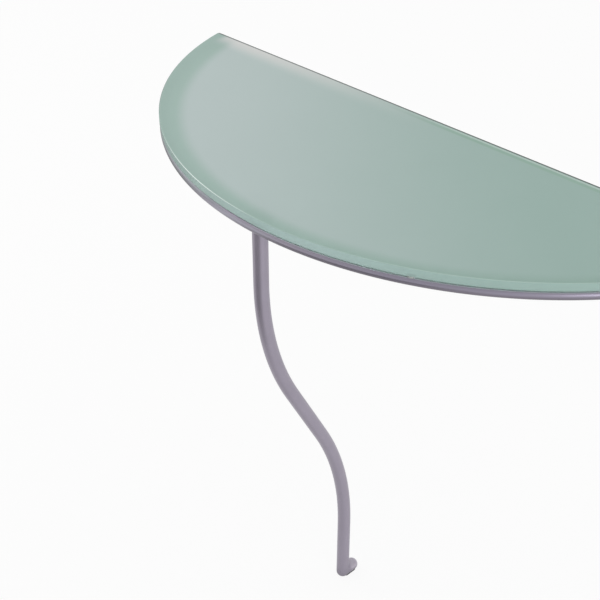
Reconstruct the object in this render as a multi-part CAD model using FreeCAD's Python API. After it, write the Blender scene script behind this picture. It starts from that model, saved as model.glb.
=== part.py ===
"""Half-round wall table: a satin glass top on a bent rim bar, held by two wall plates and one S-shaped leg.

Millimetres. X runs along the wall, +Y points at the wall and +Z is up. The origin lies on the floor,
below the middle of the table's width and depth.
"""
import FreeCAD
import Part
import math
import os

Vector = FreeCAD.Vector
UP = Vector(0, 0, 1)
TO_WALL = Vector(0, 1, 0)
ALONG_WALL = Vector(1, 0, 0)

# Table
TOP_WIDTH = 1000.0              # straight back edge of the glass
TOP_DEPTH = 380.0               # back edge to the middle of the curved front
TABLE_HEIGHT = 790.0            # floor to the top of the glass
WALL_GAP = 2.0                  # glass back edge to the wall

# Glass
GLASS_THICKNESS = 12.0
GLASS_CORNER_RADIUS = 4.0       # blunted back corners
GLASS_ARRIS = 0.8               # polished bevel round both faces

# Rim
RIM_DIAMETER = 14.0             # solid round bar
RIM_SETBACK = 0.2               # rim's outer side, in from the glass edge

# Clear pads between rim and glass, each side of the front middle
PAD_DIAMETER = 12.0
PAD_HEIGHT = 1.0                # rim's crown to the glass
PAD_SADDLE = 2.2                # how far a pad reaches down round the rim's crown
FRONT_PAD_FROM_MIDDLE = 232.0   # along the rim, from its front middle
REAR_PAD_FROM_END = 80.0        # along the rim, from its end at the wall plate

# Wall plates
PLATE_WIDTH = 30.0
PLATE_HEIGHT = 72.0
PLATE_THICKNESS = 5.0
PLATE_CORNER_RADIUS = 6.0
WALL_HOLE_DIAMETER = 6.5
WALL_HOLE_HEAD_DIAMETER = 12.5  # mouth of the countersink
WALL_HOLE_DROP = 46.0           # below the rim's centre

# Leg
LEG_DIAMETER = 21.0             # solid round bar
LEG_BEHIND_RIM = 13.8           # leg's axis at the top, in from the middle of the rim bar
LEG_SWEEP = 172.5               # how far the foot lies behind the leg's top
LEG_UPPER_BEND_RADIUS = 450.0
LEG_LOWER_BEND_RADIUS = 475.0
LEG_SLANT_RUN = 127.0           # straight run between the two bends
LEG_BEND_RAISE = 13.75          # middle of the S-bend, above the leg's middle

# Lug that holds the leg, with its screw and washer
LUG_THICKNESS = 5.0
LUG_WIDTH = 60.0                # along the rim
LUG_END_RADIUS = 17.0           # round end about the leg
LUG_BITE = 2.0                  # how far the lug reaches in under the rim's side
SCREW_DIAMETER = 8.0
SCREW_LENGTH = 24.0
SCREW_HEAD_DIAMETER = 14.0
SCREW_HEAD_HEIGHT = 4.4
SCREW_SOCKET = 5.0              # hexagon across flats
SCREW_SOCKET_DEPTH = 2.6
WASHER_DIAMETER = 16.0
WASHER_THICKNESS = 1.6

# Toe at the leg's foot, and its sole
TOE_REACH = 21.5                # leg's axis to the centre of the toe's round end
FOOT_FLAT = 1.2                 # depth of the flat ground on the underside
SOLE_THICKNESS = 2.0
SOLE_WIDTH = 14.0
SOLE_HEEL_BACK = 6.5            # centre of the sole's round heel, behind the leg's axis

# Clearances
SCREW_CLEARANCE = 0.3           # round the screw, in the lug and the washer
THREAD_CLEARANCE = 0.05         # round the screw, in the leg's threaded hole
THREAD_RUNOUT = 4.0             # threaded hole beyond the end of the screw

# Places worked out from the sizes above
wall_y = (TOP_DEPTH + WALL_GAP) / 2
back_y = wall_y - WALL_GAP
front_y = back_y - TOP_DEPTH
top_radius = (TOP_WIDTH ** 2 / 4 + TOP_DEPTH ** 2) / (2 * TOP_DEPTH)
arc_centre = Vector(0, front_y + top_radius, 0)

glass_z = TABLE_HEIGHT - GLASS_THICKNESS
rim_radius = RIM_DIAMETER / 2
rim_z = glass_z - PAD_HEIGHT - rim_radius
rim_bottom_z = rim_z - rim_radius
rim_path_radius = top_radius - RIM_SETBACK - rim_radius

plate_front_y = wall_y - PLATE_THICKNESS
rim_end_rise = arc_centre.y - plate_front_y
rim_end_x = math.sqrt(rim_path_radius ** 2 - rim_end_rise ** 2)
rim_end_angle = math.degrees(math.acos(rim_end_rise / rim_path_radius))
rim_end_half_width = rim_radius * rim_path_radius / rim_end_x
plate_x = rim_end_x + rim_end_half_width - PLATE_WIDTH / 2

leg_radius = LEG_DIAMETER / 2
leg_top = Vector(0, arc_centre.y - rim_path_radius + LEG_BEHIND_RIM, rim_bottom_z)
foot_centre = Vector(0, leg_top.y + LEG_SWEEP, SOLE_THICKNESS + leg_radius - FOOT_FLAT)
toe_centre = foot_centre + TO_WALL * TOE_REACH


def about_arc(angle, radius, z):
    """Point on a circle about the top's arc centre, angle in degrees from the front middle, +X positive."""
    turn = math.radians(angle)
    return arc_centre + Vector(radius * math.sin(turn), -radius * math.cos(turn), z)


def along_rim(length):
    """Turn in degrees that a length along the rim's middle line takes."""
    return math.degrees(length / rim_path_radius)


def arc_edge(point_at, start, end):
    """Circular edge through a point function's start, middle and end values."""
    return Part.Arc(point_at(start), point_at((start + end) / 2), point_at(end)).toShape()


def line_edge(start, end):
    return Part.LineSegment(start, end).toShape()


def revolved(profile, base=Vector(0, 0, 0)):
    """Solid of revolution about Z from (radius, height) corners, set down at base."""
    corners = [Vector(radius, 0, height) for radius, height in profile]
    face = Part.Face(Part.makePolygon(corners + corners[:1]))
    solid = face.revolve(Vector(0, 0, 0), UP, 360)
    solid.translate(base)
    return solid


def edges_where(shape, keep):
    return [edge for edge in shape.Edges if keep(edge)]


def stands_upright(edge):
    box = edge.BoundBox
    return box.XLength < 1e-6 and box.YLength < 1e-6


def lies_at(edge, z):
    return abs(edge.BoundBox.ZMin - z) < 1e-6 and abs(edge.BoundBox.ZMax - z) < 1e-6


def make_glass_top():
    """Circle segment with blunted back corners and a polished arris round both faces."""
    left = Vector(-TOP_WIDTH / 2, back_y, glass_z)
    right = Vector(TOP_WIDTH / 2, back_y, glass_z)
    front = Vector(0, front_y, glass_z)
    outline = Part.Wire([line_edge(left, right), Part.Arc(right, front, left).toShape()])
    slab = Part.Face(outline).extrude(UP * GLASS_THICKNESS)
    slab = slab.makeFillet(GLASS_CORNER_RADIUS, edges_where(slab, stands_upright))
    face_edges = edges_where(slab, lambda edge: lies_at(edge, glass_z) or lies_at(edge, TABLE_HEIGHT))
    return slab.makeChamfer(GLASS_ARRIS, face_edges)


def rim_circle():
    """The rim's round bar along its whole circle, to cut what seats against it."""
    return Part.makeTorus(rim_path_radius, rim_radius, arc_centre + UP * rim_z, UP)


def make_rim_bar():
    """Bent bar, with both ends cut flat against the wall plates."""
    reach = top_radius + TOP_WIDTH
    beyond = Part.makeBox(2 * reach, reach, TABLE_HEIGHT, Vector(-reach, plate_front_y, 0))
    return rim_circle().cut(beyond)


def make_glass_bumpers():
    """Clear pads that sit on the rim's crown like saddles."""
    rim = rim_circle()
    front_angle = along_rim(FRONT_PAD_FROM_MIDDLE)
    rear_angle = rim_end_angle - along_rim(REAR_PAD_FROM_END)
    pads = []
    for angle in (-rear_angle, -front_angle, front_angle, rear_angle):
        seat = about_arc(angle, rim_path_radius, glass_z - PAD_HEIGHT - PAD_SADDLE)
        pads.append(Part.makeCylinder(PAD_DIAMETER / 2, PAD_HEIGHT + PAD_SADDLE, seat, UP).cut(rim))
    return Part.makeCompound(pads)


def make_wall_plate(side):
    """Plate behind one end of the rim, its top level with the rim's, with one countersunk hole."""
    top_z = rim_z + rim_radius
    corner = Vector(side * plate_x - PLATE_WIDTH / 2, plate_front_y, top_z - PLATE_HEIGHT)
    plate = Part.makeBox(PLATE_WIDTH, PLATE_THICKNESS, PLATE_HEIGHT, corner)
    lower_corners = edges_where(
        plate, lambda edge: edge.BoundBox.YLength > PLATE_THICKNESS / 2 and edge.BoundBox.ZMax < rim_bottom_z)
    plate = plate.makeFillet(PLATE_CORNER_RADIUS, lower_corners)
    hole_mouth = Vector(side * plate_x, plate_front_y, rim_z - WALL_HOLE_DROP)
    hole_radius = WALL_HOLE_DIAMETER / 2
    head_radius = WALL_HOLE_HEAD_DIAMETER / 2
    hole = Part.makeCylinder(hole_radius, PLATE_THICKNESS, hole_mouth, TO_WALL)
    countersink = Part.makeCone(head_radius, hole_radius, head_radius - hole_radius, hole_mouth, TO_WALL)
    return plate.cut(hole).cut(countersink)


def make_leg_lug():
    """Tongue welded inside the rim, coped to the bar's side, with a round end about the leg."""
    edge_radius = rim_path_radius - rim_radius + LUG_BITE
    half_angle = math.degrees(math.asin(LUG_WIDTH / 2 / edge_radius))
    end_centre = Vector(0, leg_top.y, rim_bottom_z)

    def on_rim(angle):
        return about_arc(angle, edge_radius, rim_bottom_z)

    def on_end(angle):
        turn = math.radians(angle)
        return end_centre + Vector(LUG_END_RADIUS * math.sin(turn), LUG_END_RADIUS * math.cos(turn), 0)

    shoulder = on_rim(half_angle) - end_centre
    to_shoulder = math.degrees(math.atan2(shoulder.x, shoulder.y))
    tangent_turn = to_shoulder - math.degrees(math.acos(LUG_END_RADIUS / shoulder.Length))
    outline = Part.Wire([
        arc_edge(on_rim, -half_angle, half_angle),
        line_edge(on_rim(half_angle), on_end(tangent_turn)),
        arc_edge(on_end, tangent_turn, -tangent_turn),
        line_edge(on_end(-tangent_turn), on_rim(-half_angle)),
    ])
    lug = Part.Face(outline).extrude(UP * LUG_THICKNESS)
    hole = Part.makeCylinder(SCREW_DIAMETER / 2 + SCREW_CLEARANCE, LUG_THICKNESS, end_centre, UP)
    return lug.cut(rim_circle()).cut(hole)


def leg_path():
    """Straight run, bend, slanted run, opposite bend and straight run, all in the table's middle plane."""
    radii = LEG_UPPER_BEND_RADIUS + LEG_LOWER_BEND_RADIUS
    centre_line = math.hypot(radii, LEG_SLANT_RUN)
    slope = math.atan2(radii, LEG_SLANT_RUN) + math.asin((LEG_SWEEP - radii) / centre_line)
    bend_height = radii * math.sin(slope) + LEG_SLANT_RUN * math.cos(slope)
    middle_z = (leg_top.z + foot_centre.z) / 2 + LEG_BEND_RAISE
    bend_top_z = middle_z + bend_height / 2
    bend_bottom_z = middle_z - bend_height / 2

    def upper_bend(turn):
        along = LEG_UPPER_BEND_RADIUS * (1 - math.cos(turn))
        return Vector(0, leg_top.y + along, bend_top_z - LEG_UPPER_BEND_RADIUS * math.sin(turn))

    def lower_bend(turn):
        along = LEG_LOWER_BEND_RADIUS * (1 - math.cos(turn))
        return Vector(0, foot_centre.y - along, bend_bottom_z + LEG_LOWER_BEND_RADIUS * math.sin(turn))

    return Part.Wire([
        line_edge(leg_top, upper_bend(0)),
        arc_edge(upper_bend, 0, slope),
        line_edge(upper_bend(slope), lower_bend(slope)),
        arc_edge(lower_bend, slope, 0),
        line_edge(lower_bend(0), foot_centre),
    ])


def make_leg_bar():
    """Bent bar with a threaded hole in its top, a ball corner at the floor and a round-ended toe."""
    section = Part.Wire(Part.makeCircle(leg_radius, leg_top, UP))
    bar = leg_path().makePipeShell([section], True, False)
    toe = Part.makeCylinder(leg_radius, TOE_REACH, foot_centre, TO_WALL)
    corner_ball = Part.makeSphere(leg_radius, foot_centre)
    toe_ball = Part.makeSphere(leg_radius, toe_centre)
    under = Part.makeBox(4 * leg_radius, TOE_REACH + 4 * leg_radius, leg_radius,
                         Vector(-2 * leg_radius, foot_centre.y - 2 * leg_radius, SOLE_THICKNESS - leg_radius))
    hole_depth = SCREW_LENGTH - LUG_THICKNESS - WASHER_THICKNESS + THREAD_RUNOUT
    hole = Part.makeCylinder(SCREW_DIAMETER / 2 + THREAD_CLEARANCE, hole_depth, leg_top, -UP)
    return bar.fuse([toe, corner_ball, toe_ball]).removeSplitter().cut(under).cut(hole)


def make_leg_washer():
    bore = SCREW_DIAMETER / 2 + SCREW_CLEARANCE
    radius = WASHER_DIAMETER / 2
    profile = [(bore, 0), (radius, 0), (radius, WASHER_THICKNESS), (bore, WASHER_THICKNESS)]
    return revolved(profile, leg_top + UP * LUG_THICKNESS)


def make_leg_screw():
    """Cap screw with a hexagon socket, down through washer and lug into the leg."""
    seat = leg_top + UP * (LUG_THICKNESS + WASHER_THICKNESS)
    radius = SCREW_DIAMETER / 2
    head_radius = SCREW_HEAD_DIAMETER / 2
    profile = [(0, SCREW_HEAD_HEIGHT), (head_radius, SCREW_HEAD_HEIGHT), (head_radius, 0),
               (radius, 0), (radius, -SCREW_LENGTH), (0, -SCREW_LENGTH)]
    socket_floor = seat + UP * (SCREW_HEAD_HEIGHT - SCREW_SOCKET_DEPTH)
    corner_radius = SCREW_SOCKET / math.sqrt(3)
    turns = [math.radians(60 * corner) for corner in range(6)]
    corners = [socket_floor + Vector(math.cos(turn), math.sin(turn), 0) * corner_radius for turn in turns]
    socket = Part.Face(Part.makePolygon(corners + corners[:1])).extrude(UP * SCREW_SOCKET_DEPTH)
    return revolved(profile, seat).cut(socket)


def make_foot_pad():
    """Thin sole under the toe, from just behind the ball corner to the toe's round end."""
    half = SOLE_WIDTH / 2
    heel = Vector(0, foot_centre.y + SOLE_HEEL_BACK, 0)
    tip = Vector(0, toe_centre.y, 0)

    def round_heel(turn):
        return heel + Vector(half * math.cos(turn), -half * math.sin(turn), 0)

    def round_tip(turn):
        return tip + Vector(-half * math.cos(turn), half * math.sin(turn), 0)

    outline = Part.Wire([
        arc_edge(round_heel, 0, math.pi),
        line_edge(round_heel(math.pi), round_tip(0)),
        arc_edge(round_tip, 0, math.pi),
        line_edge(round_tip(math.pi), round_heel(0)),
    ])
    return Part.Face(outline).extrude(UP * SOLE_THICKNESS)


pieces = {
    "glass_top": make_glass_top(),
    "glass_bumpers": make_glass_bumpers(),
    "rim_bar": make_rim_bar(),
    "wall_plate_left": make_wall_plate(-1),
    "wall_plate_right": make_wall_plate(1),
    "leg_lug": make_leg_lug(),
    "leg_bar": make_leg_bar(),
    "leg_washer": make_leg_washer(),
    "leg_screw": make_leg_screw(),
    "foot_pad": make_foot_pad(),
}

os.makedirs("parts", exist_ok=True)
for node, shape in pieces.items():
    box = shape.optimalBoundingBox(False, False)
    print(f"{node}: {len(shape.Solids)} solids, valid {shape.isValid()}, {shape.Volume:.0f} mm3")
    print(f"  x {box.XMin:.1f} {box.XMax:.1f}, y {box.YMin:.1f} {box.YMax:.1f}, z {box.ZMin:.1f} {box.ZMax:.1f}")
    shape.exportStep(f"parts/{node}.step")
section_area = math.pi * leg_radius ** 2
print(f"leg path {leg_path().Length:.1f} mm, section times length {leg_path().Length * section_area:.0f} mm3")
print(f"wall holes {2 * plate_x:.2f} mm apart, {rim_z - WALL_HOLE_DROP:.1f} mm above the floor")
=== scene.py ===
"""Looks of the half-round wall table: satin glass top, coated rim and leg, wall plates, pads and sole.

Metres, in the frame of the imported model: X along the wall, +Y at the wall, +Z up.
"""
import bmesh
import bpy
import math
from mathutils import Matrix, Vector


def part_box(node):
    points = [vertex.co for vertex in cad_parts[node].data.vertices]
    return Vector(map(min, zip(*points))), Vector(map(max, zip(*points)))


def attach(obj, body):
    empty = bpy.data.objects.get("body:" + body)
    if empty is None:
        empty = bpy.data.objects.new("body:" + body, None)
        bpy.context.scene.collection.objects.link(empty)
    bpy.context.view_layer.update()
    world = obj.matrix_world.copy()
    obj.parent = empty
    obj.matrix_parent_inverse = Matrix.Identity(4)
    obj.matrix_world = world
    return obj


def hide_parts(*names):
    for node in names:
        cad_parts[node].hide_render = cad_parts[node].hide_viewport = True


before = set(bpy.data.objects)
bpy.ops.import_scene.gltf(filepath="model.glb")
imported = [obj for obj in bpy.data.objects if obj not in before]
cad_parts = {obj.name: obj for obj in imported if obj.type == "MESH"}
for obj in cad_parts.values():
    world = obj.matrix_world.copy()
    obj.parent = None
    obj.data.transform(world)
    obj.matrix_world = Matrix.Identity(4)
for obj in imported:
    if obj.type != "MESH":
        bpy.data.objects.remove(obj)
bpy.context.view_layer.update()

MM = 0.001

# Camera, as the photograph was taken
CAMERA_PLACE = (0.9684, -1.0279, 1.5155)
CAMERA_AZIMUTH = 46.197
CAMERA_ELEVATION = 33.792
PHOTO_PIXELS = 600
FOCAL_PIXELS = 1168.0
SENSOR_WIDTH = 36.0             # millimetres, as the lens

# Sizes that the pieces share with the solids
TOP_WIDTH = 1000 * MM
GLASS_CORNER_RADIUS = 4 * MM
GLASS_ARRIS = 0.8 * MM
RIM_RADIUS = 7 * MM
RIM_SETBACK = 0.2 * MM
PAD_RADIUS = 6 * MM
FRONT_PAD_FROM_MIDDLE = 232 * MM
REAR_PAD_FROM_END = 80 * MM
PLATE_CORNER_RADIUS = 6 * MM
WALL_HOLE_RADIUS = 3.25 * MM
WALL_HOLE_HEAD_RADIUS = 6.25 * MM
WALL_HOLE_DROP = 46 * MM
LEG_RADIUS = 10.5 * MM
LEG_UPPER_BEND_RADIUS = 450 * MM
LEG_LOWER_BEND_RADIUS = 475 * MM
LEG_SLANT_RUN = 127 * MM
LEG_BEND_RAISE = 13.75 * MM
LEG_HOLE_RADIUS = 4.05 * MM
LEG_HOLE_DEPTH = 21.4 * MM
LUG_END_RADIUS = 17 * MM
LUG_BITE = 2 * MM
LUG_HOLE_RADIUS = 4.3 * MM
SCREW_RADIUS = 4 * MM
SCREW_HEAD_HEIGHT = 4.4 * MM
SCREW_SOCKET = 5 * MM
SCREW_SOCKET_DEPTH = 2.6 * MM
TOE_REACH = 21.5 * MM
FOOT_FLAT = 1.2 * MM

# Small shapes that only the finished pieces have
STEEL_ARRIS = 0.5 * MM
SOLE_ARRIS = 0.4 * MM
PAD_EDGE = 0.35 * MM
PAD_INNER_RADIUS = 0.3 * MM     # smallest ring under a pad
WASHER_EDGE = 0.25 * MM
SCREW_EDGE = 0.5 * MM
SOCKET_MOUTH_RADIUS = 0.62 * SCREW_SOCKET
SOCKET_MOUTH_DEPTH = 0.3 * MM
TOE_TIP = 0.01                  # last ring of the toe, as a share of the bar
WELD_RADIUS = 1.1 * MM
WELD_RIPPLE = 2.2 * MM          # from crest to crest
WELD_RIPPLE_DEPTH = 0.10        # as a share of the bead
WELD_TAPER_POWER = 6            # a higher power keeps the bead full nearer to its ends
WELD_TIP = 0.1                  # ends of the bead, as a share of it
PLATE_WELD_ARC = (115, 295)     # degrees round the rim bar, from its outer side

# Mesh fineness
ARC_STEPS = 180
ROUND_STEPS = 48
BEND_STEPS = 28
CORNER_STEPS = 12
EDGE_STEPS = 4
PAD_STEPS = 6
PLATE_SIDE_STEPS = 16
PLATE_TOP_STEPS = 8
LUG_STEPS = 24
LUG_LEVELS = 8
LUG_EDGE_LEVELS = 2             # levels at each face that its rounded edge takes up
WELD_STEPS = 120
WELD_ROUND_STEPS = 16
SHARP_DEGREES = 35.0            # edges that turn more than this stay sharp
FACE_TOLERANCE = 0.08 * MM      # a face this near to the glass's upper or lower level lies on it
MERGE_DISTANCE = 1e-6           # points nearer than this become one
CUT_DISTANCE = 1e-7             # points nearer to a cut than this lie on it

# Paint on the glass face: the rim's shade, set over as the photograph's slant shows it
RIM_SHADE_WIDTH = 35 * MM
RIM_SHADE_SOFTNESS = 24 * MM
RIM_SHADE_SHIFT = (18 * MM, -17 * MM)

# Paint on the glass face: painted light, which makes it paler to the left front and leaves it green to
# the right back
FACE_PAINTED_LIGHT_HEADING = (0.69, 0.72)
FACE_PAINTED_LIGHT_FADE = (-0.28, 0.30)

# Paint on the glass face: painted light strip, painted light and shade lines and a painted dark shade
# line at its back edge, as distances from that edge
BACK_STRIP_FADE = (4.4 * MM, 44 * MM)
BACK_LINE_FADE = (2.8 * MM, 4.2 * MM)
BACK_LIGHT_LINE = ((3.75 * MM, 5.25 * MM), (7.75 * MM, 9.25 * MM))
BACK_GREEN_LINE = ((7 * MM, 10 * MM), (13.5 * MM, 16.5 * MM))

# Painted light and shade along X: one fade as (start, end), or a rise and a fall as a pair of them
BACK_STRIP_END = (-0.46, 0.04)
BACK_LINES_START = (-0.12, 0.06)
LEFT_CORNER = ((-0.484, -0.466), (-0.40, -0.20))
LEFT_CORNER_CLEARING = 0.8      # share of the rim's painted shade that the left corner's painted light strip takes away
EDGE_LIT = ((-0.14, 0.08), (0.08, 0.34))
ARRIS_LIT = ((-0.27, -0.13), (-0.13, 0.05))
ARRIS_LEFT_END = (-0.40, -0.28)
ARRIS_BACK_START = -0.05        # along Y
RIM_LEFT_END = (-0.19, -0.03)
RIM_BESIDE_LEG = ((-0.12, -0.04), (0.00, 0.08))
RIM_UPPER_END = (-0.085, -0.035)
RIM_RIGHT_START = (0.02, 0.22)
RIM_UNDER_START = (-0.14, 0.06)
RIM_CROWN_START = (-0.04, 0.06)

# Painted light and shade round the rim bar, as heights from its middle
RIM_BESIDE_LEG_TOP = (1.5 * MM, 5 * MM)
RIM_UPPER_LEVEL = (1 * MM, 4 * MM)
RIM_UNDER_LEVEL = (-3.1 * MM, 1.4 * MM)
RIM_CROWN_LEVEL = (4.3 * MM, 5.8 * MM)

# Painted light on top of the toe, as shares of the leg's radius from the middle of the ball corner
TOE_TOP_LEVEL = ((-0.5, 0.4), (1.0, 1.5))
TOE_TOP_START = (0.7, 1.5)

# Finishes
GLASS_IOR = 1.52
PAD_IOR = 1.48
FLAKE_RANGE = (0.35, 0.75)      # of the noise, from no flake to full flake

# Studio, as strengths of white for each way that it is seen
FLOOR_SHADOW = 0.10
FLOOR_IN_GLOSS = 1.0
FLOOR_THROUGH_GLASS = 1.0
WORLD_IN_GLOSS = 0.80
WORLD_THROUGH_GLASS = 1.0
WORLD_AMBIENT = 0.85

# Half width of the floor, which reaches past the picture on every side
FLOOR_HALF_WIDTH = 40.0

# Darker floor seen in gloss only: its shade, the x and y of its middle, and its half widths on x and y
FLOOR_SPOTS = (
    (0.76, -0.05, -1.30, 1.15, 0.74),       # in front of the table
    (0.62, -1.85, 0.25, 0.95, 0.80),        # left of the table
    (0.18, -0.02, -0.30, 0.24, 0.31),       # a step in front of the foot
    (0.27, 0.0, 0.012, 0.035, 0.045),       # close round the foot
)
SPOT_FADE = (0.55, 1.15)        # as shares of the half widths

# Lamps: name, place, size in metres and power in watts
LAMPS = (
    ("left_softbox", (-3.15, -0.84, 1.9), 2.4, 20),
    ("right_softbox", (4.0, -0.9, 1.1), 1.9, 36),
)
LAMP_TARGET = (0, 0, 0.7)

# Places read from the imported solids
glass_low, glass_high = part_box("glass_top")
pads_low, pads_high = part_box("glass_bumpers")
rim_low, rim_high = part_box("rim_bar")
plate_low, plate_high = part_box("wall_plate_right")
lug_low, lug_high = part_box("leg_lug")
leg_low, leg_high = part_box("leg_bar")
washer_low, washer_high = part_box("leg_washer")
screw_low, screw_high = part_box("leg_screw")
sole_low, sole_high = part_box("foot_pad")
back_y = glass_high.y
top_depth = glass_high.y - glass_low.y
top_radius = ((TOP_WIDTH / 2) ** 2 + top_depth ** 2) / (2 * top_depth)
arc_y = glass_low.y + top_radius
rim_path_radius = top_radius - RIM_SETBACK - RIM_RADIUS
rim_z = (rim_low.z + rim_high.z) / 2
plate_front_y = plate_low.y
plate_x = (plate_low.x + plate_high.x) / 2
rim_end_rise = arc_y - plate_front_y
rim_end_turn = math.acos(rim_end_rise / rim_path_radius)
leg_top_y = leg_low.y + LEG_RADIUS
toe_y = leg_high.y - LEG_RADIUS
foot_y = toe_y - TOE_REACH
foot_z = leg_low.z + LEG_RADIUS - FOOT_FLAT


class Value:
    """One output socket of a finish's nodes. Arithmetic on it adds Math nodes."""

    def __init__(self, tree, socket=None):
        self.tree = tree
        self.socket = socket

    def node(self, kind, settings=None, inputs=None):
        """Any node: its type, its settings, which are set first, and its sockets' values or links."""
        made = self.tree.nodes.new(kind)
        for name, setting in (settings or {}).items():
            setattr(made, name, setting)
        for key, value in (inputs or {}).items():
            socket = next(s for s in made.inputs if key in (s.identifier, s.name))
            if isinstance(value, Value):
                self.tree.links.new(value.socket, socket)
            else:
                socket.default_value = value
        return Value(self.tree, made.outputs[0] if made.outputs else None)

    def output(self, name):
        """Another output of the same node."""
        outputs = self.socket.node.outputs
        return Value(self.tree, next(s for s in outputs if name in (s.identifier, s.name)))

    def math(self, operation, *operands):
        """Math node of the given operation."""
        keys = ("Value", "Value_001")
        return self.node("ShaderNodeMath", {"operation": operation}, dict(zip(keys, operands)))

    def __add__(self, other):
        return self.math("ADD", self, other)

    __radd__ = __add__

    def __sub__(self, other):
        return self.math("SUBTRACT", self, other)

    def __rsub__(self, other):
        return self.math("SUBTRACT", other, self)

    def __mul__(self, other):
        return self.math("MULTIPLY", self, other)

    __rmul__ = __mul__

    def __truediv__(self, other):
        return self.math("DIVIDE", self, other)

    def __rtruediv__(self, other):
        return self.math("DIVIDE", other, self)

    def root(self):
        """Square root."""
        return self.math("SQRT", self)

    def ramp(self, start, end):
        """Rises smoothly from 0 at start to 1 at end."""
        keys = {"Value": self, "From Min": start, "From Max": end}
        return self.node("ShaderNodeMapRange", {"interpolation_type": "SMOOTHSTEP"}, keys)

    def between(self, rise, fall):
        """Rises from 0 to 1 over the first stretch and falls back to 0 over the second."""
        return self.ramp(*rise) * (1 - self.ramp(*fall))

    def stirred(self, noise, spread):
        """This value, moved up and down by noise over the given spread."""
        return self + noise * spread - spread / 2

    def mix(self, low, high):
        """Colour between low, where this value is 0, and high, where it is 1."""
        keys = {"Factor_Float": self, "A_Color": low, "B_Color": high}
        return self.node("ShaderNodeMix", {"data_type": "RGBA"}, keys).output("Result_Color")

    def noise(self, size, detail=2.0):
        """Even noise about 0.5, with lumps of the given size in metres; this value is the place."""
        keys = {"Vector": self, "Scale": 1 / size, "Detail": detail}
        return self.node("ShaderNodeTexNoise", inputs=keys)

    def bump(self, height):
        """Normal of a surface whose height, in metres, this value gives."""
        return self.node("ShaderNodeBump", inputs={"Height": self, "Distance": height})


def new_finish(name):
    """A new finish, with the place on the piece to work from."""
    material = bpy.data.materials.new(name)
    material.use_nodes = True
    material.node_tree.nodes.clear()
    start = Value(material.node_tree)
    return material, start.node("ShaderNodeTexCoord").output("Object")


def axes(place):
    """The place along X, Y and Z."""
    split = place.node("ShaderNodeSeparateXYZ", inputs={"Vector": place})
    return split.output("X"), split.output("Y"), split.output("Z")


def show(place, shader):
    """Ends a finish with the shader that it shows."""
    place.node("ShaderNodeOutputMaterial", inputs={"Surface": shader})


def paint(place, inputs):
    """Ends a finish with one surface of the given values."""
    show(place, place.node("ShaderNodeBsdfPrincipled", inputs=inputs))


def rgb(red, green, blue):
    """Linear colour of a socket."""
    return (red, green, blue, 1.0)


# Colours of the glass
FACE_GREEN = rgb(0.296, 0.431, 0.386)
# Painted light: the face's paler colour towards its left front
FACE_PAINTED_LIGHT = rgb(0.468, 0.555, 0.545)
SHADE_GREEN = rgb(0.256, 0.390, 0.337)
# Painted light on the rim's painted shade towards the left front
SHADE_UNDER_PAINTED_LIGHT = rgb(0.337, 0.475, 0.426)
# Painted light: a pale strip along the left part of the back edge
BACK_STRIP_PAINTED_LIGHT = rgb(0.67, 0.675, 0.66)
# Painted light and painted shade: lines along the back edge
BACK_LINE_PAINTED_LIGHT = rgb(0.43, 0.56, 0.50)
BACK_LINE_PAINTED_GREEN_SHADE = rgb(0.258, 0.412, 0.335)
BACK_LINE_PAINTED_DARK_SHADE = rgb(0.07, 0.09, 0.085)
UNDERSIDE_PALE = rgb(0.80, 0.88, 0.85)
UNDERSIDE_GREEN = rgb(0.77, 0.87, 0.83)
EDGE_GREEN = rgb(0.352, 0.492, 0.452)
# Painted light on the edge right of the leg
EDGE_PAINTED_LIGHT = rgb(0.452, 0.600, 0.575)
ARRIS_GREEN = rgb(0.37, 0.50, 0.45)
# Painted highlight and painted shade on the arris
ARRIS_PAINTED_HIGHLIGHT = rgb(0.78, 0.88, 0.84)
ARRIS_PAINTED_SHADE = rgb(0.05, 0.065, 0.06)

# Colours of the coat
COAT_DARK = rgb(0.302, 0.275, 0.333)
COAT_LIGHT = rgb(0.378, 0.343, 0.414)
# Painted shade and painted light on the rim's coat
RIM_LEFT_PAINTED_SHADE = rgb(0.225, 0.228, 0.250)
RIM_BESIDE_LEG_PAINTED_LIGHT = rgb(0.375, 0.365, 0.425)
RIM_UPPER_PAINTED_SHADE = rgb(0.232, 0.240, 0.265)
RIM_RIGHT_PAINTED_SHADE = rgb(0.283, 0.261, 0.326)
RIM_UNDER_PAINTED_SHADE = rgb(0.190, 0.172, 0.205)
RIM_CROWN_PAINTED_LIGHT = rgb(0.80, 0.87, 0.90)
# Painted light on top of the toe
TOE_TOP_PAINTED_LIGHT = rgb(0.46, 0.425, 0.49)

# Colours of the small pieces
ZINC_GREY = rgb(0.60, 0.61, 0.60)
ZINC_WARM = rgb(0.68, 0.68, 0.65)
PAD_DULL = rgb(0.56, 0.61, 0.59)
PAD_CLEAR = rgb(0.68, 0.72, 0.70)
RUBBER_DARK = rgb(0.010, 0.010, 0.011)
RUBBER_LIGHT = rgb(0.026, 0.025, 0.027)

# Colours of the studio
FLOOR_GREY = rgb(0.80, 0.80, 0.80)
FLOOR_WARM = rgb(0.82, 0.81, 0.81)
BLACK = rgb(0, 0, 0)
WHITE = rgb(1, 1, 1)


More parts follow.
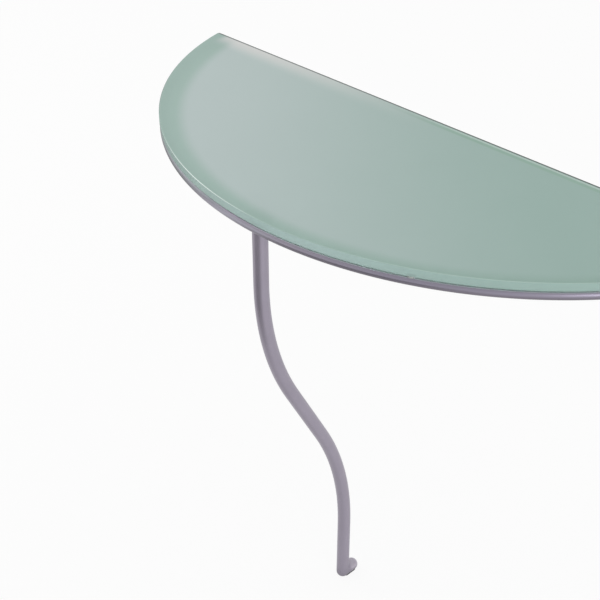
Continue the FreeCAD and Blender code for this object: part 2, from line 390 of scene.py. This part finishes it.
def make_satin_face():
    """Etched upper face of green float glass, with the rim's soft painted shade, painted light paler to
    the left front, and a painted light strip and painted light and shade lines at its back.
    """
    material, place = new_finish("satin_glass_face_painted_light_and_shade")
    across, out, _ = axes(place)
    shade_x = across - RIM_SHADE_SHIFT[0]
    shade_y = out - (arc_y + RIM_SHADE_SHIFT[1])
    beyond = (shade_x * shade_x + shade_y * shade_y).root() - (top_radius - RIM_SHADE_WIDTH)
    from_back = back_y - out
    near_back = 1 - from_back.ramp(*BACK_STRIP_FADE)
    rim_shade = beyond.ramp(-RIM_SHADE_SOFTNESS / 2, RIM_SHADE_SOFTNESS / 2)
    rim_shade = rim_shade * (1 - near_back * across.between(*LEFT_CORNER) * LEFT_CORNER_CLEARING)
    # Painted light: a pale strip along the back edge, fading out to the right
    back_painted_light = near_back * (1 - across.ramp(*BACK_STRIP_END)) * (1 - rim_shade)
    # Painted shade: a thin dark line right at the back edge
    painted_dark_shade_line = 1 - from_back.ramp(*BACK_LINE_FADE)
    right_back = across.ramp(*BACK_LINES_START)
    # Painted light and painted shade: a light line and a darker green line along the right part of the
    # back edge
    painted_light_line = from_back.between(*BACK_LIGHT_LINE) * right_back
    painted_green_shade_line = from_back.between(*BACK_GREEN_LINE) * right_back
    # Painted light: the face turns paler towards its left front
    painted_light_share = 1 - (across * FACE_PAINTED_LIGHT_HEADING[0] + out * FACE_PAINTED_LIGHT_HEADING[1]).ramp(*FACE_PAINTED_LIGHT_FADE)
    tone = painted_light_share.stirred(place.noise(size=120 * MM), spread=0.1)
    colour = rim_shade.mix(tone.mix(FACE_GREEN, FACE_PAINTED_LIGHT), tone.mix(SHADE_GREEN, SHADE_UNDER_PAINTED_LIGHT))
    colour = back_painted_light.mix(colour, BACK_STRIP_PAINTED_LIGHT)
    colour = painted_light_line.mix(colour, BACK_LINE_PAINTED_LIGHT)
    colour = painted_green_shade_line.mix(colour, BACK_LINE_PAINTED_GREEN_SHADE)
    grain = place.noise(size=0.6 * MM, detail=3.0)
    paint(place, {
        "Base Color": painted_dark_shade_line.mix(colour, BACK_LINE_PAINTED_DARK_SHADE),
        "Roughness": 0.42 + place.noise(size=4 * MM) * 0.06,
        "IOR": GLASS_IOR,
        "Transmission Weight": 0.08,
        "Normal": grain.bump(height=0.02 * MM),
    })
    return material


def make_etched_underside():
    """Etched lower face of the glass, which blurs what lies below it."""
    material, place = new_finish("glass_underside")
    paint(place, {
        "Base Color": place.noise(size=200 * MM).mix(UNDERSIDE_PALE, UNDERSIDE_GREEN),
        "Roughness": 0.78 + place.noise(size=10 * MM) * 0.08,
        "IOR": GLASS_IOR,
        "Transmission Weight": 1.0,
    })
    return material


def make_polished_edge():
    """Ground and polished edge of the glass, with painted light right of the leg."""
    material, place = new_finish("polished_glass_edge_painted_light")
    across, _, _ = axes(place)
    # Painted light: the edge is paler right of the leg
    tone = across.between(*EDGE_LIT).stirred(place.noise(size=50 * MM), spread=0.2)
    paint(place, {
        "Base Color": tone.mix(EDGE_GREEN, EDGE_PAINTED_LIGHT),
        "Roughness": 0.16 + place.noise(size=3 * MM) * 0.10,
        "IOR": GLASS_IOR,
        "Specular IOR Level": 0.2,
        "Transmission Weight": 0.25,
    })
    return material


def make_polished_arris():
    """Small polished flat along the glass's edge, with a painted highlight left of the leg and painted
    shade at the back and far left.
    """
    material, place = new_finish("polished_glass_arris_painted_highlight_and_shade")
    across, out, _ = axes(place)
    # Painted highlight: a pale stretch of the arris left of the leg
    tone = across.between(*ARRIS_LIT).stirred(place.noise(size=50 * MM), spread=0.2)
    front = tone.mix(ARRIS_GREEN, ARRIS_PAINTED_HIGHLIGHT)
    # Painted shade: the arris is dark at the back and at the far left
    back = 1 - (1 - out.ramp(ARRIS_BACK_START, back_y)) * across.ramp(*ARRIS_LEFT_END)
    paint(place, {
        "Base Color": back.mix(front, ARRIS_PAINTED_SHADE),
        "Roughness": 0.10 + place.noise(size=3 * MM) * 0.08,
        "IOR": GLASS_IOR,
        "Specular IOR Level": 0.05,
    })
    return material


def rim_painted_light_and_shade(place, coat):
    """Rim's coat with painted shade towards both ends, at the upper left and below, and painted light
    beside the leg and on top.
    """
    across, _, z = axes(place)
    height = z - rim_z
    # Painted light beside the leg and on the crown, painted shade at the upper left, below and towards
    # both ends
    beside_leg_painted_light = across.between(*RIM_BESIDE_LEG) * (1 - height.ramp(*RIM_BESIDE_LEG_TOP))
    upper_left_painted_shade = height.ramp(*RIM_UPPER_LEVEL) * (1 - across.ramp(*RIM_UPPER_END))
    under = 1 - height.ramp(*RIM_UNDER_LEVEL)
    crown = height.ramp(*RIM_CROWN_LEVEL)
    colour = across.ramp(*RIM_LEFT_END).mix(RIM_LEFT_PAINTED_SHADE, coat)
    colour = beside_leg_painted_light.mix(colour, RIM_BESIDE_LEG_PAINTED_LIGHT)
    colour = upper_left_painted_shade.mix(colour, RIM_UPPER_PAINTED_SHADE)
    colour = across.ramp(*RIM_RIGHT_START).mix(colour, RIM_RIGHT_PAINTED_SHADE)
    colour = (under * across.ramp(*RIM_UNDER_START)).mix(colour, RIM_UNDER_PAINTED_SHADE)
    return (crown * across.ramp(*RIM_CROWN_START)).mix(colour, RIM_CROWN_PAINTED_LIGHT)


def toe_painted_light(place, coat):
    """Leg's coat, with painted light on top of the toe."""
    _, out, z = axes(place)
    # Painted light: the top of the toe is lighter
    level = ((z - foot_z) / LEG_RADIUS).between(*TOE_TOP_LEVEL)
    start, end = [foot_y + share * LEG_RADIUS for share in TOE_TOP_START]
    return (level * out.ramp(start, end)).mix(coat, TOE_TOP_PAINTED_LIGHT)


def make_satin_coat(name, painted_light_and_shade=None):
    """Satin mauve-grey metallic powder coat; the optional function paints light and shade into its colour
    by the place on the piece.
    """
    material, place = new_finish(name)
    flake = place.noise(size=0.5 * MM, detail=1.0).ramp(*FLAKE_RANGE)
    patch = place.noise(size=30 * MM)
    peel = place.noise(size=2.2 * MM, detail=1.0)
    colour = (flake * 0.5 + patch * 0.5).mix(COAT_DARK, COAT_LIGHT)
    # The optional function adds painted light and shade to the colour
    paint(place, {
        "Base Color": painted_light_and_shade(place, colour) if painted_light_and_shade else colour,
        "Metallic": 0.80,
        "Roughness": 0.34 + flake * 0.08,
        "Normal": peel.bump(height=0.03 * MM),
    })
    return material


def make_plated_steel():
    """Bright zinc plate with fine marks."""
    material, place = new_finish("plated_steel")
    marks = place.noise(size=0.8 * MM, detail=4.0)
    paint(place, {
        "Base Color": place.noise(size=6 * MM).mix(ZINC_GREY, ZINC_WARM),
        "Metallic": 1.0,
        "Roughness": 0.24 + marks * 0.18,
        "Normal": marks.bump(height=0.01 * MM),
    })
    return material


def make_clear_pad():
    """Clear soft pad."""
    material, place = new_finish("clear_pad")
    paint(place, {
        "Base Color": place.noise(size=4 * MM).mix(PAD_DULL, PAD_CLEAR),
        "Roughness": 0.12 + place.noise(size=2 * MM) * 0.12,
        "IOR": PAD_IOR,
        "Transmission Weight": 0.45,
    })
    return material


def make_dark_rubber():
    """Matt moulded rubber."""
    material, place = new_finish("dark_rubber")
    grain = place.noise(size=0.7 * MM, detail=3.0)
    paint(place, {
        "Base Color": grain.mix(RUBBER_DARK, RUBBER_LIGHT),
        "Roughness": 0.62 + grain * 0.2,
        "Specular IOR Level": 0.25,
        "Normal": grain.bump(height=0.06 * MM),
    })
    return material


def skin(mesh, rings, loop=False):
    """Faces between neighbouring rings of points, and from the last back to the first for a loop."""
    made = [[mesh.verts.new(point) for point in ring] for ring in rings]
    following = made[1:] + made[:1] if loop else made[1:]
    for here, there in zip(made, following):
        for k in range(len(here)):
            after = (k + 1) % len(here)
            mesh.faces.new((here[k], here[after], there[after], there[k]))
    return made


def capped_skin(mesh, rings):
    """Skin over the rings, closed by a face over the first and the last."""
    made = skin(mesh, rings)
    mesh.faces.new(made[0])
    mesh.faces.new(made[-1])


def spaced(start, end, steps):
    """Values from start to end, both taken in."""
    return [start + (end - start) * k / steps for k in range(steps + 1)]


def turns_round(steps=ROUND_STEPS):
    """Turns once round, in even steps."""
    return [2 * math.pi * k / steps for k in range(steps)]


def leg_ring(radius, z, turns):
    """Level ring of points about the upright middle line of the leg's top."""
    return [(radius * math.cos(turn), leg_top_y + radius * math.sin(turn), z) for turn in turns]


def slab_profile(low, high, arris, flat=0.0):
    """Steps (inset, level) from the lower face out round a slab's edge to its upper face."""
    lower = [(arris + flat, low)] if flat else []
    for turn in spaced(0, math.pi / 2, EDGE_STEPS):
        lower.append((arris * (1 - math.sin(turn)), low + arris * (1 - math.cos(turn))))
    return lower + [(inset, low + high - level) for inset, level in reversed(lower)]


def new_piece(name, mesh, finishes, node=None):
    """Turns a finished bmesh into a piece that rides on the table and may replace one of its solids."""
    bmesh.ops.recalc_face_normals(mesh, faces=mesh.faces)
    data = bpy.data.meshes.new(name)
    mesh.to_mesh(data)
    mesh.free()
    for finish in finishes:
        data.materials.append(finish)
    data.shade_smooth()
    data.set_sharp_from_angle(angle=math.radians(SHARP_DEGREES))
    piece = bpy.data.objects.new(name, data)
    bpy.context.scene.collection.objects.link(piece)
    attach(piece, "root")
    if node:
        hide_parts(node)


def top_outline(inset):
    """Half-round outline of the glass, drawn in by inset, with blunted back corners."""
    corner_y = back_y - GLASS_CORNER_RADIUS
    corner_reach = top_radius - GLASS_CORNER_RADIUS
    corner_x = math.sqrt(corner_reach ** 2 - (corner_y - arc_y) ** 2)
    corner_turn = math.atan2(corner_x, arc_y - corner_y)
    arc_radius = top_radius - inset
    blunt = GLASS_CORNER_RADIUS - inset
    points = []
    for turn in spaced(-corner_turn, corner_turn, ARC_STEPS):
        points.append((arc_radius * math.sin(turn), arc_y - arc_radius * math.cos(turn)))
    corner = []
    for turn in spaced(corner_turn, math.pi, CORNER_STEPS)[1:]:
        corner.append((corner_x + blunt * math.sin(turn), corner_y - blunt * math.cos(turn)))
    return points + corner + [(-x, y) for x, y in reversed(corner)]


def make_glass(face, underside, edge, arris):
    """Glass slab with a flat polished edge and a small flat arris along both faces."""
    mesh = bmesh.new()
    low = glass_low.z
    high = glass_high.z
    edge_low = low + GLASS_ARRIS
    edge_high = high - GLASS_ARRIS
    profile = [(GLASS_ARRIS, low), (0, edge_low), (0, edge_high), (GLASS_ARRIS, high)]
    capped_skin(mesh, [[(x, y, z) for x, y in top_outline(inset)] for inset, z in profile])
    finishes = [face, underside, edge, arris]
    for polygon in mesh.faces:
        level = polygon.calc_center_median().z
        finish = arris
        if level > high - FACE_TOLERANCE:
            finish = face
        elif level < low + FACE_TOLERANCE:
            finish = underside
        elif edge_low < level < edge_high:
            finish = edge
        polygon.material_index = finishes.index(finish)
    new_piece("satin_top", mesh, finishes, "glass_top")


def on_rim(share, round_turn):
    """Point on the rim bar: share from -1 at its left end to 1, and turn from the bar's outer side."""
    reach = rim_path_radius + RIM_RADIUS * math.cos(round_turn)
    turn = share * math.acos(rim_end_rise / reach)
    height = RIM_RADIUS * math.sin(round_turn)
    return Vector((reach * math.sin(turn), arc_y - reach * math.cos(turn), rim_z + height))


def make_rim(coat):
    """Bent round bar whose ends meet the wall plates."""
    mesh = bmesh.new()
    turns = turns_round()
    rings = [[on_rim(share, turn) for turn in turns] for share in spaced(-1, 1, ARC_STEPS)]
    capped_skin(mesh, rings)
    new_piece("bent_rim", mesh, [coat], "rim_bar")


def saddle_ring(middle, radius):
    """Ring of points on the rim's crown, about the middle of the pad at that turn along the rim."""
    outward = Vector((math.sin(middle), -math.cos(middle), 0))
    along = Vector((math.cos(middle), math.sin(middle), 0))
    centre = Vector((0, arc_y, 0)) + rim_path_radius * outward
    ring = []
    for turn in turns_round():
        point = centre + radius * (math.cos(turn) * outward + math.sin(turn) * along)
        offset = math.hypot(point.x, point.y - arc_y) - rim_path_radius
        point.z = max(pads_low.z, rim_z + math.sqrt(RIM_RADIUS ** 2 - offset ** 2))
        ring.append(point)
    return ring


def make_pads(clear):
    """Clear pads that sit on the rim's crown like saddles."""
    mesh = bmesh.new()
    front = FRONT_PAD_FROM_MIDDLE / rim_path_radius
    rear = rim_end_turn - REAR_PAD_FROM_END / rim_path_radius
    seat_radii = spaced(PAD_INNER_RADIUS, PAD_RADIUS - 2 * PAD_EDGE, PAD_STEPS)
    for middle in (-rear, -front, front, rear):
        seat = [saddle_ring(middle, radius) for radius in seat_radii]
        wide = saddle_ring(middle, PAD_RADIUS)
        narrow = saddle_ring(middle, PAD_RADIUS - PAD_EDGE)
        lip = [point + Vector((0, 0, PAD_EDGE)) for point in wide]
        shoulder = [Vector((point.x, point.y, pads_high.z - PAD_EDGE)) for point in wide]
        crown = [Vector((point.x, point.y, pads_high.z)) for point in narrow]
        capped_skin(mesh, seat + [narrow, lip, shoulder, crown])
    new_piece("clear_saddles", mesh, [clear], "glass_bumpers")


def leg_line():
    """Middle line of the leg as (y, z, slope), from its top down to the ball corner."""
    radii = LEG_UPPER_BEND_RADIUS + LEG_LOWER_BEND_RADIUS
    sweep = foot_y - leg_top_y
    lean = math.atan2(radii, LEG_SLANT_RUN)
    steepest = lean + math.asin((sweep - radii) / math.hypot(radii, LEG_SLANT_RUN))
    bend_height = radii * math.sin(steepest) + LEG_SLANT_RUN * math.cos(steepest)
    middle_z = (leg_high.z + foot_z) / 2 + LEG_BEND_RAISE
    bend_top = middle_z + bend_height / 2
    bend_bottom = middle_z - bend_height / 2
    line = [(leg_top_y, leg_high.z, 0.0)]
    for slope in spaced(0, steepest, BEND_STEPS):
        y = leg_top_y + LEG_UPPER_BEND_RADIUS * (1 - math.cos(slope))
        z = bend_top - LEG_UPPER_BEND_RADIUS * math.sin(slope)
        line.append((y, z, slope))
    for slope in spaced(steepest, 0, BEND_STEPS):
        y = foot_y - LEG_LOWER_BEND_RADIUS * (1 - math.cos(slope))
        z = bend_bottom + LEG_LOWER_BEND_RADIUS * math.sin(slope)
        line.append((y, z, slope))
    return line


def leg_bar_rings(turns):
    """Rings square to the leg's middle line."""
    rings = []
    for y, z, slope in leg_line():
        ring = []
        for turn in turns:
            x = LEG_RADIUS * math.cos(turn)
            side = LEG_RADIUS * math.sin(turn)
            ring.append((x, y + side * math.cos(slope), z + side * math.sin(slope)))
        rings.append(ring)
    return rings


def ball_corner_rings(turns):
    """Rings that turn from the leg into the toe: a ball at the heel and a mitre inside."""
    rings = []
    for bend in spaced(0, math.pi / 2, CORNER_STEPS):
        ring = []
        for turn in turns:
            x = LEG_RADIUS * math.cos(turn)
            side = LEG_RADIUS * math.sin(turn)
            heel = (x, foot_y + side * math.cos(bend), foot_z + side * math.sin(bend))
            mitre = (x, foot_y + side, foot_z + side)
            ring.append(mitre if side > 0 else heel)
        rings.append(ring)
    return rings


def toe_rings(turns):
    """Rings over the toe's round end."""
    rings = []
    for bend in spaced(0, math.pi / 2, CORNER_STEPS):
        width = LEG_RADIUS * max(math.cos(bend), TOE_TIP)
        tip_y = toe_y + LEG_RADIUS * math.sin(bend)
        ring = [(width * math.cos(turn), tip_y, foot_z + width * math.sin(turn)) for turn in turns]
        rings.append(ring)
    return rings


def make_leg(coat):
    """S-bent bar with a ball corner at the floor and a round-ended toe, flat underneath."""
    mesh = bmesh.new()
    turns = turns_round()
    hole = [leg_ring(LEG_HOLE_RADIUS, leg_high.z - depth, turns) for depth in (LEG_HOLE_DEPTH, 0)]
    capped_skin(mesh, hole + leg_bar_rings(turns) + ball_corner_rings(turns) + toe_rings(turns))
    bmesh.ops.remove_doubles(mesh, verts=mesh.verts, dist=MERGE_DISTANCE)
    cut = bmesh.ops.bisect_plane(
        mesh,
        geom=mesh.verts[:] + mesh.edges[:] + mesh.faces[:],
        dist=CUT_DISTANCE,
        plane_co=(0, 0, leg_low.z),
        plane_no=(0, 0, -1),
        clear_outer=True,
    )
    rim_of_flat = [part for part in cut["geom_cut"] if isinstance(part, bmesh.types.BMEdge)]
    bmesh.ops.edgeloop_fill(mesh, edges=rim_of_flat)
    new_piece("bent_leg", mesh, [coat], "leg_bar")


def plate_outline(inset):
    """Upright outline of a wall plate as (across, z), drawn in by inset, with round lower corners."""
    half = (plate_high.x - plate_low.x) / 2 - inset
    low = plate_low.z + inset
    high = plate_high.z - inset
    blunt = PLATE_CORNER_RADIUS - inset
    top = [(x, high) for x in spaced(-half, half, PLATE_TOP_STEPS)]
    right = [(half, z) for z in spaced(high, low + blunt, PLATE_SIDE_STEPS)]
    for turn in spaced(0, math.pi / 2, CORNER_STEPS)[1:]:
        right.append((half - blunt * (1 - math.cos(turn)), low + blunt * (1 - math.sin(turn))))
    left = [(-x, z) for x, z in reversed(right)]
    return top[:-1] + right + left[:-1]


def make_wall_plate(side, name, node, coat):
    """Plate with softened edges and one countersunk hole."""
    mesh = bmesh.new()
    middle_x = side * plate_x
    hole_z = rim_z - WALL_HOLE_DROP
    thickness = plate_high.y - plate_low.y
    headings = [math.atan2(z - hole_z, x) for x, z in plate_outline(0)]
    rings = []
    for inset, depth in slab_profile(0, thickness, STEEL_ARRIS, flat=STEEL_ARRIS):
        rings.append([(middle_x + x, plate_front_y + depth, z) for x, z in plate_outline(inset)])
    sink = WALL_HOLE_HEAD_RADIUS - WALL_HOLE_RADIUS
    hole = ((WALL_HOLE_RADIUS, thickness), (WALL_HOLE_RADIUS, sink), (WALL_HOLE_HEAD_RADIUS, 0))
    for radius, depth in hole:
        ring = []
        for heading in headings:
            x = middle_x + radius * math.cos(heading)
            ring.append((x, plate_front_y + depth, hole_z + radius * math.sin(heading)))
        rings.append(ring)
    skin(mesh, rings, loop=True)
    new_piece(name, mesh, [coat], node)


def lug_outline(level, inset):
    """Level outline of the lug: its edge at the rim, its slanted sides and its round end on the leg."""
    rim_side = rim_path_radius - math.sqrt(max(RIM_RADIUS ** 2 - (level - rim_z) ** 2, 0))
    edge_radius = rim_path_radius - RIM_RADIUS + LUG_BITE
    half_turn = math.asin(lug_high.x / edge_radius)
    shoulder_x = edge_radius * math.sin(half_turn)
    shoulder_y = arc_y - edge_radius * math.cos(half_turn) - leg_top_y
    reach = math.hypot(shoulder_x, shoulder_y)
    end_turn = math.atan2(shoulder_x, shoulder_y) - math.acos(LUG_END_RADIUS / reach)
    reach_out = min(edge_radius, rim_side) - inset
    points = []
    for turn in spaced(-half_turn, half_turn, LUG_STEPS):
        points.append((reach_out * math.sin(turn), arc_y - reach_out * math.cos(turn)))
    end_radius = LUG_END_RADIUS - inset
    for turn in spaced(end_turn, -end_turn, LUG_STEPS):
        points.append((end_radius * math.sin(turn), leg_top_y + end_radius * math.cos(turn)))
    return points


def make_lug(coat):
    """Tongue coped to the rim's inner side, with a round end and the screw's hole."""
    mesh = bmesh.new()
    profile = slab_profile(lug_low.z, lug_high.z, STEEL_ARRIS)
    levels = spaced(lug_low.z, lug_high.z, LUG_LEVELS)
    waist = [(0.0, level) for level in levels[LUG_EDGE_LEVELS:-LUG_EDGE_LEVELS]]
    middle = len(profile) // 2
    rings = []
    for inset, level in profile[:middle] + waist + profile[middle:]:
        rings.append([(x, y, level) for x, y in lug_outline(level, inset)])
    headings = [math.atan2(y - leg_top_y, x) for x, y, _ in rings[0]]
    for level in (lug_high.z, lug_low.z):
        rings.append(leg_ring(LUG_HOLE_RADIUS, level, headings))
    skin(mesh, rings, loop=True)
    new_piece("rim_lug", mesh, [coat], "leg_lug")


def make_weld(name, path, side, coat):
    """Rippled weld bead along a path, thinner at both ends; side is square to the path's plane."""
    mesh = bmesh.new()
    turns = turns_round(WELD_ROUND_STEPS)
    last = len(path) - 1
    rings = []
    run = 0.0
    for k, point in enumerate(path):
        ahead = path[min(k + 1, last)]
        behind = path[max(k - 1, 0)]
        run += (point - behind).length
        from_middle = 2 * (k / last) - 1
        taper = max(math.sqrt(1 - from_middle ** WELD_TAPER_POWER), WELD_TIP)
        ripple = 1 + WELD_RIPPLE_DEPTH * math.sin(2 * math.pi * run / WELD_RIPPLE)
        radius = WELD_RADIUS * taper * ripple
        across = (ahead - behind).normalized().cross(side)
        headings = [math.cos(turn) * across + math.sin(turn) * side for turn in turns]
        rings.append([point + radius * heading for heading in headings])
    capped_skin(mesh, rings)
    new_piece(name, mesh, [coat])


def make_welds(coat):
    """Beads of the lug against the rim, and of the rim's ends on the wall plates."""
    half_turn = math.asin(lug_high.x / rim_path_radius)
    bead_radius = rim_path_radius - math.sqrt(RIM_RADIUS ** 2 - (lug_high.z - rim_z) ** 2)
    path = []
    for turn in spaced(-half_turn, half_turn, WELD_STEPS):
        y = arc_y - bead_radius * math.cos(turn)
        path.append(Vector((bead_radius * math.sin(turn), y, lug_high.z)))
    make_weld("lug_weld", path, Vector((0, 0, 1)), coat)
    start, end = [math.radians(degrees) for degrees in PLATE_WELD_ARC]
    for share, name in ((-1, "left_plate_weld"), (1, "right_plate_weld")):
        path = [on_rim(share, turn) for turn in spaced(start, end, WELD_STEPS)]
        make_weld(name, path, Vector((0, 1, 0)), coat)


def make_washer(zinc):
    """Flat washer with softened outer edges."""
    mesh = bmesh.new()
    turns = turns_round()
    radius = washer_high.x
    profile = [
        (LUG_HOLE_RADIUS, washer_low.z),
        (radius - WASHER_EDGE, washer_low.z),
        (radius, washer_low.z + WASHER_EDGE),
        (radius, washer_high.z - WASHER_EDGE),
        (radius - WASHER_EDGE, washer_high.z),
        (LUG_HOLE_RADIUS, washer_high.z),
    ]
    skin(mesh, [leg_ring(reach, z, turns) for reach, z in profile], loop=True)
    new_piece("flat_washer", mesh, [zinc], "leg_washer")


def socket_ring(z):
    """Level six-sided ring of the screw's socket, with as many points as a round ring."""
    ring = []
    for turn in turns_round():
        reach = SCREW_SOCKET / 2 / math.cos(turn % (math.pi / 3) - math.pi / 6)
        ring.append((reach * math.cos(turn), leg_top_y + reach * math.sin(turn), z))
    return ring


def make_screw(zinc):
    """Cap screw with a chamfered head and a hexagon socket."""
    mesh = bmesh.new()
    turns = turns_round()
    head = screw_high.x
    seat = screw_high.z - SCREW_HEAD_HEIGHT
    profile = [
        (SCREW_RADIUS - SCREW_EDGE, screw_low.z),
        (SCREW_RADIUS, screw_low.z + SCREW_EDGE),
        (SCREW_RADIUS, seat),
        (head, seat),
        (head, screw_high.z - SCREW_EDGE),
        (head - SCREW_EDGE, screw_high.z),
        (SOCKET_MOUTH_RADIUS, screw_high.z),
    ]
    outside = [leg_ring(reach, z, turns) for reach, z in profile]
    socket = [socket_ring(screw_high.z - depth) for depth in (SOCKET_MOUTH_DEPTH, SCREW_SOCKET_DEPTH)]
    capped_skin(mesh, outside + socket)
    new_piece("cap_screw", mesh, [zinc], "leg_screw")


def make_sole(rubber):
    """Thin moulded sole with round ends and softened edges."""
    mesh = bmesh.new()
    half = sole_high.x
    half_turns = spaced(0, math.pi, ROUND_STEPS)
    rings = []
    for inset, z in slab_profile(sole_low.z, sole_high.z, SOLE_ARRIS):
        radius = half - inset
        ring = []
        for turn in half_turns:
            ring.append((radius * math.cos(turn), sole_low.y + half - radius * math.sin(turn), z))
        for turn in half_turns:
            ring.append((-radius * math.cos(turn), sole_high.y - half + radius * math.sin(turn), z))
        rings.append(ring)
    capped_skin(mesh, rings)
    new_piece("toe_sole", mesh, [rubber], "foot_pad")


def seen_light(start, to_eye, in_gloss, through_glass, elsewhere):
    """Strength of a white surface for each way that it is seen."""
    path = start.node("ShaderNodeLightPath")
    eye = path.output("Is Camera Ray")
    through = path.output("Is Transmission Ray")
    gloss = path.output("Is Glossy Ray") * (1 - through)
    direct = eye * to_eye + gloss * in_gloss + through * through_glass
    return direct + (1 - eye - gloss - through) * elsewhere


def soft_spot(across, out, centre_x, centre_y, half_x, half_y):
    """One inside an oval on the floor, fading to nothing round it."""
    off_x = (across - centre_x) / half_x
    off_y = (out - centre_y) / half_y
    return 1 - (off_x * off_x + off_y * off_y).root().ramp(*SPOT_FADE)


def make_floor_finish():
    """White to the eye, with a faint shadow, and with the darker spots for reflections only."""
    material, place = new_finish("floor_white")
    across, out, _ = axes(place)
    in_gloss = FLOOR_IN_GLOSS
    for shade, *spot in FLOOR_SPOTS:
        in_gloss = in_gloss - soft_spot(across, out, *spot) * shade
    tone = place.noise(size=500 * MM).mix(FLOOR_GREY, FLOOR_WARM)
    shaded = place.node("ShaderNodeBsdfDiffuse", inputs={"Color": tone})
    strength = seen_light(
        place,
        to_eye=1.0,
        in_gloss=in_gloss,
        through_glass=FLOOR_THROUGH_GLASS,
        elsewhere=0.0,
    )
    light = strength.mix(BLACK, WHITE)
    white = place.node("ShaderNodeEmission", inputs={"Color": light, "Strength": 1.0})
    share = seen_light(place, to_eye=1 - FLOOR_SHADOW, in_gloss=1.0, through_glass=1.0, elsewhere=0.0)
    both = {"Fac": share, "Shader": shaded, "Shader_001": white}
    show(place, place.node("ShaderNodeMixShader", inputs=both))
    return material


def make_floor():
    """Wide level floor that the table stands on."""
    mesh = bmesh.new()
    half = FLOOR_HALF_WIDTH
    outline = ((-half, -half), (half, -half), (half, half), (-half, half))
    mesh.faces.new([mesh.verts.new((x, y, 0)) for x, y in outline])
    data = bpy.data.meshes.new("floor")
    mesh.to_mesh(data)
    mesh.free()
    data.materials.append(make_floor_finish())
    floor = bpy.data.objects.new("floor", data)
    bpy.context.scene.collection.objects.link(floor)


def make_world():
    """White background to the eye, with a softer even light on the surfaces."""
    world = bpy.data.worlds.new("studio")
    world.use_nodes = True
    world.node_tree.nodes.clear()
    bpy.context.scene.world = world
    start = Value(world.node_tree)
    strength = seen_light(
        start,
        to_eye=1.0,
        in_gloss=WORLD_IN_GLOSS,
        through_glass=WORLD_THROUGH_GLASS,
        elsewhere=WORLD_AMBIENT,
    )
    light = start.node("ShaderNodeBackground", inputs={"Color": WHITE, "Strength": strength})
    start.node("ShaderNodeOutputWorld", inputs={"Surface": light})


def make_lamp(name, place, size, power):
    """Soft square lamp aimed at the table."""
    data = bpy.data.lights.new(name, "AREA")
    data.shape = "SQUARE"
    data.size = size
    data.energy = power
    lamp = bpy.data.objects.new(name, data)
    lamp.location = place
    lamp.rotation_mode = "QUATERNION"
    lamp.rotation_quaternion = (Vector(LAMP_TARGET) - Vector(place)).to_track_quat("-Z", "Y")
    bpy.context.scene.collection.objects.link(lamp)


def make_camera():
    """Camera at the photograph's place, with its lens."""
    data = bpy.data.cameras.new("photo_camera")
    data.sensor_width = SENSOR_WIDTH
    data.lens = FOCAL_PIXELS / PHOTO_PIXELS * SENSOR_WIDTH
    camera = bpy.data.objects.new("photo_camera", data)
    camera.location = CAMERA_PLACE
    camera.rotation_euler = (math.radians(90 - CAMERA_ELEVATION), 0, math.radians(CAMERA_AZIMUTH))
    bpy.context.scene.collection.objects.link(camera)
    bpy.context.scene.camera = camera


satin_coat = make_satin_coat("satin_coat")
plated_steel = make_plated_steel()
make_glass(make_satin_face(), make_etched_underside(), make_polished_edge(), make_polished_arris())
make_pads(make_clear_pad())
make_rim(make_satin_coat("satin_rim_coat_painted_light_and_shade", rim_painted_light_and_shade))
make_wall_plate(-1, "left_plate", "wall_plate_left", satin_coat)
make_wall_plate(1, "right_plate", "wall_plate_right", satin_coat)
make_lug(satin_coat)
make_welds(satin_coat)
make_leg(make_satin_coat("satin_leg_coat_painted_light", toe_painted_light))
make_washer(plated_steel)
make_screw(plated_steel)
make_sole(make_dark_rubber())

make_floor()
make_world()
for lamp_name, lamp_place, lamp_size, lamp_power in LAMPS:
    make_lamp(lamp_name, lamp_place, lamp_size, lamp_power)
make_camera()
bpy.context.scene.view_settings.view_transform = "Standard"
